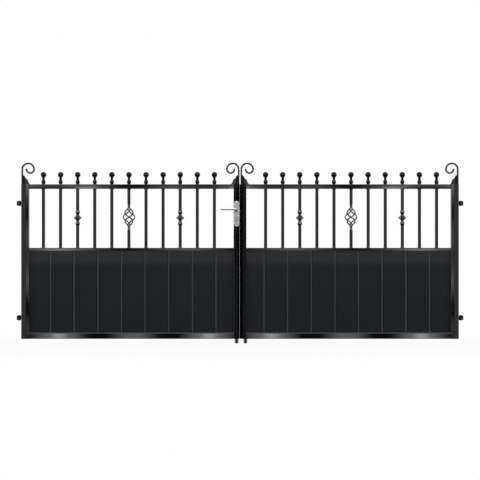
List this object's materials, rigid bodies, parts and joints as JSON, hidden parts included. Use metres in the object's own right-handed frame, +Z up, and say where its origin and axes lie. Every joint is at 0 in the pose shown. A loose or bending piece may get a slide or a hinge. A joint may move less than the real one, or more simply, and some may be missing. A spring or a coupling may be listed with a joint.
{
  "type": "driveway gate pair",
  "caption": "Pair of black wrought iron driveway gate leaves with boarded lower panels, bars with ball finials, baskets, collars, corner scrolls, lever lock and drop bolts.",
  "frame": {"origin": "centre of the face that the lower left hinge bracket turns to its post", "axes": "+X across the gateway from the left post to the right one, +Y from the front of the leaves to their back, +Z up"},
  "size_m": [2.864, 0.1786, 1.161],
  "materials": {
    "black_gloss": "gloss black powder coat",
    "hinge_black": "satin black paint",
    "panel_board": "satin dark grey board",
    "satin_steel": "satin stainless steel",
    "lock_brass": "satin nickel"
  },
  "bodies": {
    "hinge_brackets": {"hinge_bracket_left_lower": "hinge_black", "hinge_bracket_left_upper": "hinge_black", "hinge_bracket_right_lower": "hinge_black", "hinge_bracket_right_upper": "hinge_black", "hinge_pins_left": "hinge_black", "hinge_pins_right": "hinge_black"},
    "left_leaf": {"left_hinge_stile": "black_gloss", "left_meeting_stile": "black_gloss", "left_top_rail": "black_gloss", "left_middle_rail": "black_gloss", "left_bottom_rail": "black_gloss", "left_infill_panel": "panel_board", "left_plain_bars": "black_gloss", "left_collared_bars": "black_gloss", "left_basket_bar": "black_gloss", "left_ball_finials": "black_gloss", "left_scrolls": "black_gloss", "left_corner_brackets": "black_gloss", "left_hinge_eyes": "hinge_black", "left_bolt_guides": "black_gloss", "lock_plate_front": "satin_steel", "lock_plate_back": "satin_steel", "lock_cylinder": "lock_brass"},
    "right_leaf": {"right_hinge_stile": "black_gloss", "right_meeting_stile": "black_gloss", "right_top_rail": "black_gloss", "right_middle_rail": "black_gloss", "right_bottom_rail": "black_gloss", "right_infill_panel": "panel_board", "right_plain_bars": "black_gloss", "right_collared_bars": "black_gloss", "right_basket_bar": "black_gloss", "right_ball_finials": "black_gloss", "right_scrolls": "black_gloss", "right_corner_brackets": "black_gloss", "right_hinge_eyes": "hinge_black", "right_bolt_guides": "black_gloss"},
    "lock_levers": {"lever_front": "satin_steel", "lever_back": "satin_steel", "lock_spindle": "satin_steel"},
    "left_bolt": {"left_drop_bolt": "black_gloss"},
    "right_bolt": {"right_drop_bolt": "black_gloss"}
  },
  "joints": [
    {"name": "left_leaf_swing", "type": "hinge", "parent": "hinge_brackets", "child": "left_leaf", "pos_m": [0.017, 0, 0], "axis": [0, 0, 1], "range_deg": [0, 90]},
    {"name": "right_leaf_swing", "type": "hinge", "parent": "hinge_brackets", "child": "right_leaf", "pos_m": [2.847, 0, 0], "axis": [0, 0, -1], "range_deg": [0, 90]},
    {"name": "lever_turn", "type": "hinge", "parent": "left_leaf", "child": "lock_levers", "pos_m": [1.41, -0.015, 0.696], "axis": [0, -1, 0], "range_deg": [0, 45], "stiffness_Nm_per_rad": 1.2, "springref_deg": -28.65},
    {"name": "left_bolt_drop", "type": "slide", "parent": "left_leaf", "child": "left_bolt", "axis": [0, 0, -1], "range_m": [0, 0.1]},
    {"name": "right_bolt_drop", "type": "slide", "parent": "right_leaf", "child": "right_bolt", "axis": [0, 0, -1], "range_m": [0, 0.1]}
  ]
}
